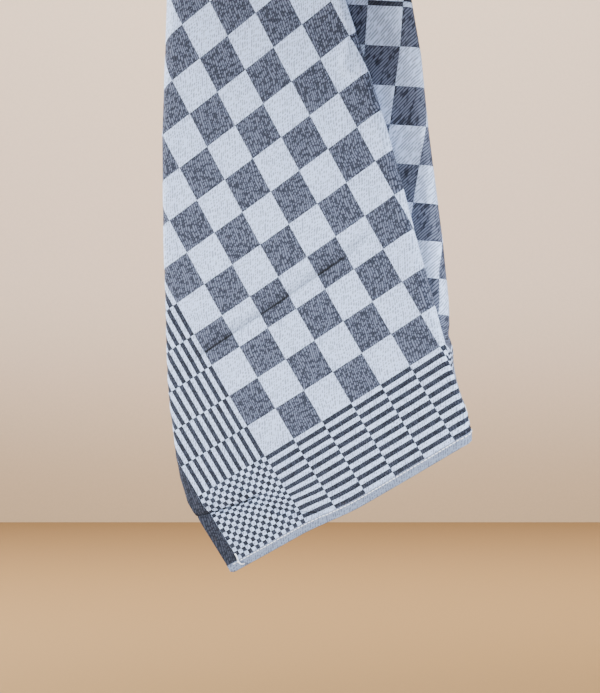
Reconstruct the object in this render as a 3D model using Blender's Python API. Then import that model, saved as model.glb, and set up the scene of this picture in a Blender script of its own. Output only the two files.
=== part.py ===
# Checked tea towel, hanging by the middle of its upper hem.
#
# The cloth is described section by section. Each section is the walk of the cloth at one
# height. Above the lower end of the fold it goes round the left turn, across the front
# panel, back and forth through the fold, over the right turn and along the part behind.
# Below it, it goes from the front panel round to a narrow side face and then behind. The
# places where a section turns are read on the cloth laid flat, so the walk keeps the
# cloth's own lengths. Metres, +Z up, front towards -Y. Places are first counted from where
# the front panel's plane meets the fold's lower end; at the end the origin is put at the
# middle of the upper hem, where the towel hangs from.
import math

import bmesh
import bpy
import numpy as np

# driving dimensions, metres and degrees
CLOTH_WIDTH = 0.6525        # across the warp, selvedge to selvedge
CLOTH_LENGTH = 0.6595       # along the warp, hem to hem
CLOTH_THICKNESS = 0.0014
ZERO_ACROSS = 0.29625       # flat place of the fold's lower end, from the left selvedge
ZERO_ALONG = 0.07825        # and from the lower hem
PANEL_TURN = 31.7           # how far the front panel hangs turned in its plane
BACK_TURN = 84.9            # the same for the layer seen beside the front panel
BACK_X = 0.022              # where the two layers' patterns meet
BACK_Z = -0.004
BACK_STRETCH = 1.04
HIDDEN_SHARE = 0.6          # how far the cloth runs back behind the front panel
SIDE_RUN = 0.050            # depth of the narrow side face below the fold
SIDE_DROP = 0.012           # how much lower its threads run at its far side
SIDE_DROP_LOW = -0.078      # heights between which that drop begins
SIDE_DROP_HIGH = -0.018
FOLDED_FROM = -0.040        # heights between which the side face becomes the fold
FOLDED_AT = 0.018
TUCK_HEIGHT = -0.0824       # where the lower hem turns to the back
CORNER_HEIGHT = 0.3445      # height of the lower right corner, behind
TIGHT_TURN = 95.0           # first, tight part of both side turns
WIDE_TURN = 85.0            # second, wide part of both side turns
LEFT_WIDE_RADIUS = 0.025
RIGHT_WIDE_RADIUS = 0.012
REAR_RADIUS = 0.003         # radius of the fold hidden behind the front panel
STRETCH_X = -0.144          # middle of the panel, where it isn't stretched
STRETCH_Z = 0.061
STRETCH_RISE = 0.256        # rise for each square metre of height
STRETCH_SKEW = 0.023        # rise for each square metre of width by height
STRETCH_REACH = 0.23        # height over the middle where the stretch ends
TRIM = 0.004                # how blunt the lowest corner is
HIGHEST = 0.5466            # height of the last section
CORNER_ACROSS = 0.137       # the lower left corner, pulled up under its crease
CORNER_ALONG = 0.069
CORNER_FADE = 0.065
CORNER_SLOPE = 0.179        # slope of the crease
CORNER_BAND = 0.010         # height of the crease at the selvedge
CORNER_SOFTNESS = 0.25      # how it widens to the right
CORNER_RISE = 0.0038
CORNER_ASIDE = 0.0018

# height; left turn: x, radius; front fold: where it starts, radius, heading of the side
# face in degrees; right turn: where it starts, radius
TURN_ROWS = (
    (-0.230, -0.2645, 0.006, -0.0123, 0.0073, 178.0, -0.044, 0.010),
    (-0.160, -0.2560, 0.006, -0.0123, 0.0073, 178.0, -0.044, 0.010),
    (-0.150, -0.2505, 0.006, -0.0123, 0.0073, 178.0, -0.044, 0.010),
    (-0.140, -0.2535, 0.006, -0.0123, 0.0073, 178.0, -0.044, 0.010),
    (-0.130, -0.2568, 0.006, -0.0123, 0.0073, 178.0, -0.044, 0.010),
    (-0.120, -0.2587, 0.006, -0.0123, 0.0073, 178.0, -0.045, 0.010),
    (-0.111, -0.2608, 0.006, -0.0123, 0.0073, 178.0, -0.045, 0.010),
    (-0.093, -0.2627, 0.006, -0.0123, 0.0073, 178.0, -0.046, 0.010),
    (-0.083, -0.2640, 0.006, -0.0123, 0.0073, 178.0, -0.046, 0.010),
    (-0.0705, -0.266, 0.006, -0.0122, 0.0055, 115.0, -0.046, 0.010),
    (-0.0605, -0.267, 0.006, -0.0142, 0.0040, 113.0, -0.046, 0.010),
    (-0.0438, -0.2685, 0.006, -0.0184, 0.0030, 112.5, -0.046, 0.010),
    (-0.0280, -0.2692, 0.006, -0.0246, 0.0036, 110.5, -0.0455, 0.010),
    (-0.0154, -0.2697, 0.006, -0.0284, 0.0045, 109.5, -0.0448, 0.010),
    (0.004, -0.2702, 0.006, -0.0357, 0.0053, 107.0, -0.0420, 0.010),
    (0.026, -0.2707, 0.006, -0.0440, 0.0065, 106.0, -0.0442, 0.010),
    (0.073, -0.2725, 0.006, -0.0572, 0.0060, 106.0, -0.0458, 0.008),
    (0.115, -0.2725, 0.007, -0.0695, 0.0060, 106.0, -0.049, 0.006),
    (0.160, -0.2725, 0.008, -0.0820, 0.0050, 106.0, -0.0530, 0.005),
    (0.215, -0.266, 0.015, -0.1015, 0.0045, 106.0, -0.059, 0.005),
    (0.271, -0.2595, 0.022, -0.1225, 0.0040, 106.0, -0.070, 0.005),
    (0.400, -0.2585, 0.026, -0.1630, 0.0040, 106.0, -0.090, 0.006),
    (0.560, -0.2585, 0.026, -0.2130, 0.0040, 106.0, -0.110, 0.006),
)

# height; how far the pattern of the layer beside the panel is shifted to the left
BOW_ROWS = (
    (-0.080, 0.010),
    (0.000, 0.0105),
    (0.022, 0.0120),
    (0.050, 0.0150),
    (0.080, 0.0115),
    (0.110, 0.0095),
    (0.150, 0.0050),
    (0.220, 0.0000),
)

# height from which the rows of the mesh are spaced like this
ROW_SPACING = (
    (-0.230, 0.0065),
    (-0.100, 0.0060),
    (0.040, 0.0060),
    (0.120, 0.012),
    (0.330, 0.012),
    (0.380, 0.008),
    (0.560, 0.008),
)
STRETCH_STEPS = {
    "left part behind": 4,
    "left turn, wide": 3,
    "left turn, tight": 3,
    "front panel": 8,
    "front fold": 5,
    "hidden layer, going left": 4,
    "rear fold": 4,
    "layer beside the panel": 5,
    "right turn, tight": 3,
    "right turn, wide": 3,
    "right part behind": 5,
}
LEAST_STRETCH = 0.006       # shortest stretch of a section
LEAST_SHARE = 0.05          # or this share of a short section

LEFT = -ZERO_ACROSS
RIGHT = CLOTH_WIDTH + LEFT
BOTTOM = -ZERO_ALONG
TOP = CLOTH_LENGTH + BOTTOM
TURN_SIN = math.sin(math.radians(PANEL_TURN))
TURN_COS = math.cos(math.radians(PANEL_TURN))
TIGHT = math.radians(TIGHT_TURN)
WIDE = math.radians(WIDE_TURN)


def smooth_step(value, end):
    # share = value / end kept in 0..1, result = share² (3 - 2 share)
    share = np.clip(value / end, 0.0, 1.0)
    return share * share * (3.0 - 2.0 * share)


def panel_point(x, z):
    # the panel's x, z turned back by the panel turn: p = x cos + z sin, q = z cos - x sin
    return np.stack([x * TURN_COS + z * TURN_SIN, z * TURN_COS - x * TURN_SIN], axis=-1)


def back_point(x, z):
    # the layer beside the panel, turned about its meeting point with the panel:
    # flat place of that point + (x, stretched z) turned back by the back turn
    angle = math.radians(BACK_TURN)
    across = x - BACK_X + np.interp(z, *zip(*BOW_ROWS))
    up = (z - BACK_Z) * BACK_STRETCH
    flat_x = across * math.cos(angle) + up * math.sin(angle)
    flat_z = up * math.cos(angle) - across * math.sin(angle)
    return panel_point(BACK_X, BACK_Z) + np.stack([flat_x, flat_z], axis=-1)


def section_start(z):
    # x where a section meets the left selvedge or the upper hem, whichever is further right
    return np.maximum((LEFT - z * TURN_SIN) / TURN_COS, (z * TURN_COS - TOP) / TURN_SIN)


def hem_point(z):
    # flat place on the lower hem where a section ends: it moves along the hem as z rises
    tuck_x = (TUCK_HEIGHT * TURN_COS - BOTTOM) / TURN_SIN
    tuck = tuck_x * TURN_COS + TUCK_HEIGHT * TURN_SIN
    rise = (z - TUCK_HEIGHT) / (CORNER_HEIGHT - TUCK_HEIGHT)
    return np.stack([tuck + (RIGHT - tuck) * rise, np.full_like(z, BOTTOM)], axis=-1)


def running_sums(stretches):
    # each stretch's end = sum of the stretches up to it
    reached = [np.zeros_like(stretches[0])]
    for stretch in stretches:
        reached.append(reached[-1] + stretch)
    return reached


def last_reached(corners, reached):
    # the least distance at which a section crosses the right selvedge or either hem
    last = reached[-1].copy()
    edges = ((0, RIGHT, 1.0), (1, TOP, 1.0), (1, BOTTOM, -1.0))
    for number, (start, end) in enumerate(zip(corners, corners[1:])):
        for axis, edge, side in edges:
            crosses = side * (end[:, axis] - edge) > 1e-9
            run = np.where(crosses, end[:, axis] - start[:, axis], 1.0)
            share = np.clip((edge - start[:, axis]) / run, 0.0, 1.0)
            there = reached[number] + share * (reached[number + 1] - reached[number])
            last = np.where(crosses, np.minimum(last, there), last)
    return last


def walk(distance, length, heading, turn):
    # an even arc: chord = gone sinc(half / pi), run = chord (cos, sin)(heading + half)
    gone = np.clip(distance, 0.0, length)
    half = 0.5 * turn * gone / length
    chord = gone * np.sinc(half / math.pi)
    return chord * np.cos(heading + half), chord * np.sin(heading + half)


def chained(distance, start_x, arcs):
    # x, y = start + sum of the arcs, each (where it begins, its length, its heading, its turn)
    x = np.zeros_like(distance) + start_x
    y = np.zeros_like(distance)
    for begin, length, heading, bend in arcs:
        run_x, run_y = walk(distance - begin, np.maximum(length, 1e-6), heading, bend)
        x = x + run_x
        y = y + run_y
    return x, y


def left_turned(x, y, left_x, radius):
    # past the left turn: the turned line plus the depth y along its normal
    past = np.maximum(left_x - x, 0.0)
    tight_length = radius * TIGHT
    wide_length = LEFT_WIDE_RADIUS * WIDE
    straight = np.full_like(radius, CLOTH_WIDTH)
    arcs = (
        (0.0, tight_length, 0.0, TIGHT),
        (tight_length, wide_length, TIGHT, WIDE),
        (tight_length + wide_length, straight, math.pi, 0.0),
    )
    run, depth = chained(past, 0.0, arcs)
    heading = sum(turn * np.clip((past - begin) / length, 0.0, 1.0) for begin, length, _, turn in arcs)
    turned_x = left_x - run + y * np.sin(heading)
    turned_y = depth + y * np.cos(heading)
    behind = x < left_x
    return np.where(behind, turned_x, x), np.where(behind, turned_y, y)


def stretched(x, z):
    # z + rise up² + skew (x - middle) up, where up is the height over the middle
    up = np.clip(z - STRETCH_Z, -1.0, STRETCH_REACH)
    return z + STRETCH_RISE * up * up + STRETCH_SKEW * (x - STRETCH_X) * up


def corner_pull(x, z):
    # how far the pull on the lower left corner reaches, from its place on the flat panel
    place = panel_point(x, z) - np.array([LEFT, BOTTOM])
    across = np.maximum(place[..., 0], 0.0)
    under = CORNER_ALONG - CORNER_SLOPE * across - place[..., 1]
    down = smooth_step(under, CORNER_BAND + CORNER_SOFTNESS * across)
    return down * smooth_step(CORNER_ACROSS - across, CORNER_FADE)


def column_marks(marks, last):
    # ends of the stretches of each section, kept a least length apart
    least = np.minimum(LEAST_STRETCH, LEAST_SHARE * last)
    marks = [np.zeros_like(last)] + list(marks) + [last]
    for number in range(1, len(marks)):
        marks[number] = np.maximum(marks[number], marks[number - 1] + least)
    marks[-1] = last
    for number in range(len(marks) - 2, 0, -1):
        marks[number] = np.minimum(marks[number], marks[number + 1] - least)
    return np.stack(marks, axis=1)


def columns_between(marks):
    # distance = mark + share (next mark - mark), share in even steps
    columns = [marks[:, 0]]
    for number, steps in enumerate(STRETCH_STEPS.values()):
        for step in range(1, steps + 1):
            share = step / steps
            columns.append(marks[:, number] * (1.0 - share) + marks[:, number + 1] * share)
    return np.stack(columns, axis=1)


def laid_section(z, start_x, turns, marks, corners, stretches, arcs):
    # one kind of section: distances between its marks, walked through its arcs and left turn
    left_x, left_radius = turns[:2]
    reached = running_sums(stretches)
    last = last_reached(corners, reached)
    left_turn = left_x - start_x
    left_tight = left_radius * TIGHT
    left_marks = [left_turn - left_tight - LEFT_WIDE_RADIUS * WIDE, left_turn - left_tight, left_turn]
    distance = columns_between(column_marks(left_marks + marks, last))
    x, y = chained(distance, start_x[:, None], [[value[:, None] for value in arc] for arc in arcs])
    turned_x, turned_y = left_turned(x, y, left_x[:, None], left_radius[:, None])
    ahead = distance < marks[-3][:, None]
    return np.stack([np.where(ahead, turned_x, x), np.where(ahead, turned_y, y)], axis=-1)


def lower_section(z, start_x, turns):
    # front panel, its fold round to the side face, the side face, a wide turn and the part behind
    fold_start, fold_radius, heading = turns[2:5]
    heading = np.radians(heading)
    none = np.zeros_like(z)
    front = fold_start - start_x
    fold = fold_radius * heading
    side_run = none + SIDE_RUN
    wide_turn = RIGHT_WIDE_RADIUS * (math.pi - heading)
    dropped = smooth_step(z - SIDE_DROP_LOW, SIDE_DROP_HIGH - SIDE_DROP_LOW)
    hem = hem_point(z)
    side = panel_point(fold_start + fold + side_run, z + SIDE_DROP * dropped)
    corners = [panel_point(start_x, z), panel_point(fold_start, z), side, hem]
    stretches = [front, fold + side_run, np.hypot(*(hem - side).T)]
    marks = [front, front + fold] + [front + fold + share * side_run for share in (0.25, 0.35, 0.7, 1.0)]
    marks.append(marks[-1] + wide_turn)
    arcs = (
        (none, front, none, none),
        (front, fold, none, heading),
        (front + fold, side_run, heading, none),
        (front + fold + side_run, wide_turn, heading, math.pi - heading),
        (front + fold + side_run + wide_turn, none + CLOTH_WIDTH, none + math.pi, none),
    )
    return laid_section(z, start_x, turns, marks, corners, stretches, arcs)


def upper_section(z, start_x, turns):
    # front panel, its fold, the hidden layer going left, the rear fold, the layer beside the panel,
    # the right turn and the part behind
    fold_start, fold_radius, heading, side_x, side_radius = turns[2:]
    none = np.zeros_like(z)
    back = none + math.pi
    front = fold_start - start_x
    half = 0.5 * math.pi * fold_radius
    fold_x = fold_start + half
    rear_half = none + 0.5 * math.pi * REAR_RADIUS
    tight_turn = side_radius * TIGHT
    wide_turn = none + RIGHT_WIDE_RADIUS * WIDE
    half_turn = 0.5 * (tight_turn + wide_turn)
    apart = back_point(fold_x, z) - panel_point(fold_x, z)
    hidden = HIDDEN_SHARE * np.hypot(*apart.T)
    beside = side_x - fold_x + hidden
    hem = hem_point(z)
    side = back_point(side_x + half_turn, z)
    rear_point = back_point(fold_x - hidden, z)
    corners = [panel_point(start_x, z), panel_point(fold_x, z), rear_point, side, hem]
    stretches = [front + half, hidden, beside + half_turn, np.hypot(*(hem - side).T)]
    fold = front + 2.0 * half
    rear = front + half + hidden
    turn_start = rear + beside
    marks = [front, fold, rear - rear_half, rear + rear_half, turn_start,
             turn_start + tight_turn, turn_start + tight_turn + wide_turn]
    arcs = (
        (none, front, none, none),
        (front, 2.0 * half, none, back),
        (fold, rear - rear_half - fold, back, none),
        (rear - rear_half, 2.0 * rear_half, back, -back),
        (rear + rear_half, beside - rear_half, none, none),
        (turn_start, tight_turn, none, none + TIGHT),
        (turn_start + tight_turn, wide_turn, none + TIGHT, none + WIDE),
        (turn_start + tight_turn + wide_turn, none + CLOTH_WIDTH, back, none),
    )
    return laid_section(z, start_x, turns, marks, corners, stretches, arcs)


def row_heights(lowest, highest):
    # heights whose gaps follow the row spacing, from the lowest to the highest
    heights = [lowest]
    from_height, spacing = zip(*ROW_SPACING)
    while heights[-1] < highest:
        heights.append(heights[-1] + np.interp(heights[-1], from_height, spacing))
    return np.append(heights[:-1], highest)


def hanging_cloth():
    # rows of points of the cloth's middle surface; the two kinds of section are mixed by
    # height, and the rows are stretched
    z = row_heights(LEFT * TURN_SIN + BOTTOM * TURN_COS + TRIM, HIGHEST)
    table = np.array(TURN_ROWS)
    turns = [np.interp(z, table[:, 0], table[:, column]) for column in range(1, 8)]
    start_x = section_start(z)
    folded = smooth_step(z - FOLDED_FROM, FOLDED_AT - FOLDED_FROM)
    low = lower_section(z, start_x, turns)
    high = upper_section(z, start_x, turns)
    plan = low + folded[:, None, None] * (high - low)
    level = np.broadcast_to(z[:, None], plan.shape[:2])
    height = stretched(plan[..., 0], level)
    points = np.concatenate([plan, height[..., None]], axis=-1)
    pull = corner_pull(plan[..., 0], level)[..., None]
    return points + pull * np.array([-CORNER_ASIDE, 0.0, CORNER_RISE])


def sheet_mesh(points):
    rows, columns = points.shape[:2]
    mesh = bpy.data.meshes.new("towel")
    form = bmesh.new()
    grid = [[form.verts.new(point) for point in row] for row in points]
    for row in range(rows - 1):
        for column in range(columns - 1):
            form.faces.new((grid[row][column], grid[row][column + 1],
                            grid[row + 1][column + 1], grid[row + 1][column]))
    bmesh.ops.recalc_face_normals(form, faces=form.faces)
    form.to_mesh(mesh)
    form.free()
    return mesh


def damask_material():
    material = bpy.data.materials.new("cotton_damask")
    material.use_nodes = True
    shader = material.node_tree.nodes["Principled BSDF"]
    shader.inputs["Base Color"].default_value = (0.36, 0.38, 0.44, 1.0)
    shader.inputs["Roughness"].default_value = 0.85
    shader.inputs["Metallic"].default_value = 0.0
    return material


def build_towel():
    points = hanging_cloth()
    upper_hem = points[-1]
    points = points - 0.5 * (upper_hem.min(axis=0) + upper_hem.max(axis=0))
    towel = bpy.data.objects.new("towel", sheet_mesh(points))
    bpy.context.collection.objects.link(towel)
    towel.data.materials.append(damask_material())
    towel.data.shade_smooth()
    body = towel.modifiers.new("thickness", "SOLIDIFY")
    body.thickness = CLOTH_THICKNESS
    body.offset = 0.0
    return towel


for old in list(bpy.data.objects):
    bpy.data.objects.remove(old, do_unlink=True)
build_towel()
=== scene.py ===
import math

import bpy
import numpy as np
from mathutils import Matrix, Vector


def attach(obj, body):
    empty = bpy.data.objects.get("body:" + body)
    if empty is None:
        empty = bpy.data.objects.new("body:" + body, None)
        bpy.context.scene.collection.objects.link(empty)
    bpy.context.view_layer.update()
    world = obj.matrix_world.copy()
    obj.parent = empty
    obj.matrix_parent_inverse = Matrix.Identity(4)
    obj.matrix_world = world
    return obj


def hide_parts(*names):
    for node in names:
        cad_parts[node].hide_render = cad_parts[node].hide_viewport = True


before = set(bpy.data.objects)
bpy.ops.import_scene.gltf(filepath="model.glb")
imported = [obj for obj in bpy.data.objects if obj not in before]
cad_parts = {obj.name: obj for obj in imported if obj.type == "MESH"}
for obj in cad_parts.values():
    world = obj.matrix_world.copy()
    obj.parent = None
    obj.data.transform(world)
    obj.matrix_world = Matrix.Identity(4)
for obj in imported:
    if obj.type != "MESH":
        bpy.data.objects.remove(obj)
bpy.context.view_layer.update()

# the cloth laid flat, metres: u runs across it from the left selvedge, v up it from the lower hem
cloth = {
    "width": 0.6525,
    "length": 0.6595,
    "blockAcross": 0.0303,
    "blockAlong": 0.03106,
    "blocks": 16,
    "barShare": 0.1315,  # width of a bar, in blocks; each border holds eighteen
    "thickness": 0.0011,
    "hemWidth": 0.0078,
    "hemExtra": 0.0011,  # added thickness of the turned hem, and the width over which it fades
    "hemSoftness": 0.0012,
    "selvedgeExtra": 0.0004,
    "selvedgeBand": 0.004,
    "selvedgeSoftness": 0.002,
}

# how it hangs; places are counted from where the front panel's own plane would meet the
# lower end of the fold beside it
hang = {
    "zeroAcross": 0.29625,  # that place on the cloth laid flat
    "zeroAlong": 0.07825,
    "panelTurn": 31.7,  # turn of the front panel in its own plane, degrees
    "backTurn": 84.9,  # turn of the layer seen beside the front panel
    "backX": 0.022,
    "backZ": -0.004,
    "backStretch": 1.04,
    "hiddenShare": 0.6,  # how far the cloth runs back behind the front panel
    "sideRun": 0.050,  # depth of the narrow side face below the fold
    "sideMarks": (0.25, 0.35, 0.70, 1.00),  # where its columns change their spacing
    "sideDrop": 0.012,  # how far its pattern drops, and between which heights that comes in
    "sideDropLow": -0.078,
    "sideDropHigh": -0.018,
    "foldedFrom": -0.040,  # the deep fold beside the panel begins, and is complete
    "foldedAt": 0.018,
    "tuckHeight": -0.0824,  # lowest section's end on the lower hem, and the right corner's height
    "cornerHeight": 0.3445,
    "tightTurn": 95.0,  # each turn to the back has a tight part and a wide one
    "wideTurn": 85.0,
    "leftWideRadius": 0.025,
    "rightWideRadius": 0.012,
    "rearRadius": 0.003,
    "stretchX": -0.144,  # the rows are lifted a little above and below this place
    "stretchZ": 0.061,
    "stretchRise": 0.256,
    "stretchSkew": 0.023,
    "stretchReach": 0.23,
    "trim": 0.0012,  # cut from the tip of the lower left corner
    "highest": 0.5466,  # height of the highest section
    "cornerAcross": 0.137,  # lower left corner, pulled in under its crease: width, height, slope
    "cornerAlong": 0.069,
    "cornerSlope": 0.179,
    "cornerFade": 0.065,  # widths over which the pull comes in, from the right and from the crease
    "cornerBand": 0.010,
    "cornerSoftness": 0.25,
    "cornerRise": 0.0038,  # how far it is pulled, up and to the left
    "cornerAside": 0.0018,
}

# height; left turn: x, radius; front fold: where it starts, radius, heading of the side face in
# degrees; right turn: where it starts, radius
turnRows = np.array([
    (-0.230, -0.2645, 0.006, -0.0123, 0.0073, 178.0, -0.044, 0.010),
    (-0.160, -0.2560, 0.006, -0.0123, 0.0073, 178.0, -0.044, 0.010),
    (-0.150, -0.2505, 0.006, -0.0123, 0.0073, 178.0, -0.044, 0.010),
    (-0.140, -0.2535, 0.006, -0.0123, 0.0073, 178.0, -0.044, 0.010),
    (-0.130, -0.2568, 0.006, -0.0123, 0.0073, 178.0, -0.044, 0.010),
    (-0.120, -0.2587, 0.006, -0.0123, 0.0073, 178.0, -0.045, 0.010),
    (-0.111, -0.2608, 0.006, -0.0123, 0.0073, 178.0, -0.045, 0.010),
    (-0.093, -0.2627, 0.006, -0.0123, 0.0073, 178.0, -0.046, 0.010),
    (-0.083, -0.2640, 0.006, -0.0123, 0.0073, 178.0, -0.046, 0.010),
    (-0.0705, -0.266, 0.006, -0.0122, 0.0055, 115.0, -0.046, 0.010),
    (-0.0605, -0.267, 0.006, -0.0142, 0.0040, 113.0, -0.046, 0.010),
    (-0.0438, -0.2685, 0.006, -0.0184, 0.0030, 112.5, -0.046, 0.010),
    (-0.0280, -0.2692, 0.006, -0.0246, 0.0036, 110.5, -0.0455, 0.010),
    (-0.0154, -0.2697, 0.006, -0.0284, 0.0045, 109.5, -0.0448, 0.010),
    (0.004, -0.2702, 0.006, -0.0357, 0.0053, 107.0, -0.0420, 0.010),
    (0.026, -0.2707, 0.006, -0.0440, 0.0065, 106.0, -0.0442, 0.010),
    (0.073, -0.2725, 0.006, -0.0572, 0.0060, 106.0, -0.0458, 0.008),
    (0.115, -0.2725, 0.007, -0.0695, 0.0060, 106.0, -0.049, 0.006),
    (0.160, -0.2725, 0.008, -0.0820, 0.0050, 106.0, -0.0530, 0.005),
    (0.215, -0.266, 0.015, -0.1015, 0.0045, 106.0, -0.059, 0.005),
    (0.271, -0.2595, 0.022, -0.1225, 0.0040, 106.0, -0.070, 0.005),
    (0.400, -0.2585, 0.026, -0.1630, 0.0040, 106.0, -0.090, 0.006),
    (0.560, -0.2585, 0.026, -0.2130, 0.0040, 106.0, -0.110, 0.006),
])

# height; how far the pattern of the layer beside the panel is shifted to the left
bowRows = np.array([
    (-0.080, 0.010),
    (0.000, 0.0105),
    (0.022, 0.0120),
    (0.050, 0.0150),
    (0.080, 0.0115),
    (0.110, 0.0095),
    (0.150, 0.0050),
    (0.220, 0.0000),
])

# steps along each stretch of a section, from its left end to its right end
stretchSteps = {
    "left part behind": 14,
    "left turn, wide": 8,
    "left turn, tight": 8,
    "front panel": 52,
    "front fold": 14,
    "hidden layer, going left": 14,
    "rear fold": 10,
    "layer beside the panel": 18,
    "right turn, tight": 10,
    "right turn, wide": 7,
    "right part behind": 16,
}
rowSpacing = 0.0028
leastStretch = 0.006  # shortest stretch, and its largest share of a short section
leastShare = 0.05
tiny = 1e-9  # keeps divisions away from zero

left = -hang["zeroAcross"]
right = cloth["width"] + left
bottom = -hang["zeroAlong"]
top = cloth["length"] + bottom
turnSin = math.sin(math.radians(hang["panelTurn"]))
turnCos = math.cos(math.radians(hang["panelTurn"]))
tight = math.radians(hang["tightTurn"])
wide = math.radians(hang["wideTurn"])


def smoothStep(value, end):
    # share = value / end kept in 0..1, result = share² (3 - 2 share)
    share = np.clip(value / end, 0.0, 1.0)
    return share * share * (3.0 - 2.0 * share)


def panelPoint(x, z):
    # the panel's x, z turned back by the panel turn: p = x cos + z sin, q = z cos - x sin
    return np.stack([x * turnCos + z * turnSin, z * turnCos - x * turnSin], axis=-1)


def backPoint(x, z):
    # the layer beside the panel, turned about backX, backZ:
    # flat place of that point + (x, stretched z) turned back by the back turn
    angle = math.radians(hang["backTurn"])
    across = x - hang["backX"] + np.interp(z, bowRows[:, 0], bowRows[:, 1])
    up = (z - hang["backZ"]) * hang["backStretch"]
    turnedX = across * math.cos(angle) + up * math.sin(angle)
    turnedZ = up * math.cos(angle) - across * math.sin(angle)
    return panelPoint(hang["backX"], hang["backZ"]) + np.stack([turnedX, turnedZ], axis=-1)


def sectionStart(z):
    # x where a section meets the left selvedge or the upper hem, whichever is further right
    return np.maximum((left - z * turnSin) / turnCos, (z * turnCos - top) / turnSin)


def hemPoint(z):
    # flat place on the lower hem that a section ends at: it moves along the hem as the section rises
    tuckX = (hang["tuckHeight"] * turnCos - bottom) / turnSin
    tuck = tuckX * turnCos + hang["tuckHeight"] * turnSin
    rise = (z - hang["tuckHeight"]) / (hang["cornerHeight"] - hang["tuckHeight"])
    return np.stack([tuck + (right - tuck) * rise, np.full_like(z, bottom)], axis=-1)


def runningSums(stretches):
    # each stretch's end = sum of the stretches up to it
    reached = [np.zeros_like(stretches[0])]
    for stretch in stretches:
        reached.append(reached[-1] + stretch)
    return reached


def lastReached(corners, reached):
    # the least distance at which a section crosses the right selvedge or either hem
    last = reached[-1].copy()
    edges = ((0, right, 1.0), (1, top, 1.0), (1, bottom, -1.0))
    for number, (start, end) in enumerate(zip(corners, corners[1:])):
        for axis, edge, side in edges:
            crosses = side * (end[:, axis] - edge) > tiny
            run = np.where(crosses, end[:, axis] - start[:, axis], 1.0)
            share = np.clip((edge - start[:, axis]) / run, 0.0, 1.0)
            there = reached[number] + share * (reached[number + 1] - reached[number])
            last = np.where(crosses, np.minimum(last, there), last)
    return last


def flatPlaces(distance, corners, reached):
    # flat point at a distance: corner + sum over stretches of their direction times the part walked
    place = np.repeat(corners[0][:, None, :], distance.shape[1], axis=1)
    for number in range(len(corners) - 1):
        length = np.maximum(reached[number + 1] - reached[number], tiny)
        heading = (corners[number + 1] - corners[number]) / length[:, None]
        gone = np.clip(distance - reached[number][:, None], 0.0, length[:, None])
        place = place + gone[:, :, None] * heading[:, None, :]
    return place


def walk(distance, length, heading, turn):
    # an even arc: chord = gone sinc(half / pi), run = chord (cos, sin)(heading + half)
    gone = np.clip(distance, 0.0, length)
    half = 0.5 * turn * gone / length
    chord = gone * np.sinc(half / math.pi)
    return chord * np.cos(heading + half), chord * np.sin(heading + half)


def chained(distance, startX, arcs):
    # x, y = start + sum of the arcs, each (where it begins, its length, its heading, its turn)
    x = np.zeros_like(distance) + startX
    y = np.zeros_like(distance)
    for begin, length, heading, bend in arcs:
        runX, runY = walk(distance - begin, np.maximum(length, tiny), heading, bend)
        x = x + runX
        y = y + runY
    return x, y


def leftTurned(x, y, leftX, radius):
    # past the left turn: the turned line plus the depth y along its normal
    past = np.maximum(leftX - x, 0.0)
    tightLength = radius * tight
    wideLength = hang["leftWideRadius"] * wide
    straight = np.full_like(radius, cloth["width"])
    arcs = (
        (0.0, tightLength, 0.0, tight),
        (tightLength, wideLength, tight, wide),
        (tightLength + wideLength, straight, math.pi, 0.0),
    )
    run, depth = chained(past, 0.0, arcs)
    heading = sum(turn * np.clip((past - begin) / length, 0.0, 1.0) for begin, length, _, turn in arcs)
    turnedX = leftX - run + y * np.sin(heading)
    turnedY = depth + y * np.cos(heading)
    behind = x < leftX
    return np.where(behind, turnedX, x), np.where(behind, turnedY, y)


def stretched(x, z):
    # z + rise up² + skew (x - middle) up, where up is the height over the middle
    up = np.clip(z - hang["stretchZ"], -1.0, hang["stretchReach"])
    return z + hang["stretchRise"] * up * up + hang["stretchSkew"] * (x - hang["stretchX"]) * up


def cornerPull(x, z):
    # smooth step down from the crease, softer to the right, times smooth step in from the
    # corner's right end; both on the panel's flat place
    place = panelPoint(x, z) - np.array([left, bottom])
    u, v = np.maximum(place[..., 0], 0.0), place[..., 1]
    under = hang["cornerAlong"] - hang["cornerSlope"] * u - v
    down = smoothStep(under, hang["cornerBand"] + hang["cornerSoftness"] * u)
    return down * smoothStep(hang["cornerAcross"] - u, hang["cornerFade"])


def columnMarks(marks, last):
    # ends of the stretches of each section, kept a least length apart
    least = np.minimum(leastStretch, leastShare * last)
    marks = [np.zeros_like(last)] + list(marks) + [last]
    for number in range(1, len(marks)):
        marks[number] = np.maximum(marks[number], marks[number - 1] + least)
    marks[-1] = last
    for number in range(len(marks) - 2, 0, -1):
        marks[number] = np.minimum(marks[number], marks[number + 1] - least)
    return np.stack(marks, axis=1)


def columnsBetween(marks):
    # distance = mark + share (next mark - mark), share in even steps
    columns = [marks[:, 0]]
    for number, steps in enumerate(stretchSteps.values()):
        for step in range(1, steps + 1):
            share = step / steps
            columns.append(marks[:, number] * (1.0 - share) + marks[:, number + 1] * share)
    return np.stack(columns, axis=1)


def laidSection(z, startX, turns, marks, corners, stretches, arcs):
    # one kind of section: distances between its marks, walked through its arcs and left turn,
    # with the flat places of those distances
    leftX, leftRadius = turns[:2]
    reached = runningSums(stretches)
    last = lastReached(corners, reached)
    leftTurn = leftX - startX
    leftTight = leftRadius * tight
    leftMarks = [leftTurn - leftTight - hang["leftWideRadius"] * wide, leftTurn - leftTight, leftTurn]
    distance = columnsBetween(columnMarks(leftMarks + marks, last))
    x, y = chained(distance, startX[:, None], [[value[:, None] for value in arc] for arc in arcs])
    turnedX, turnedY = leftTurned(x, y, leftX[:, None], leftRadius[:, None])
    ahead = distance < marks[-3][:, None]
    points = np.stack([np.where(ahead, turnedX, x), np.where(ahead, turnedY, y)], axis=-1)
    return points, flatPlaces(distance, corners, reached)


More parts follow.
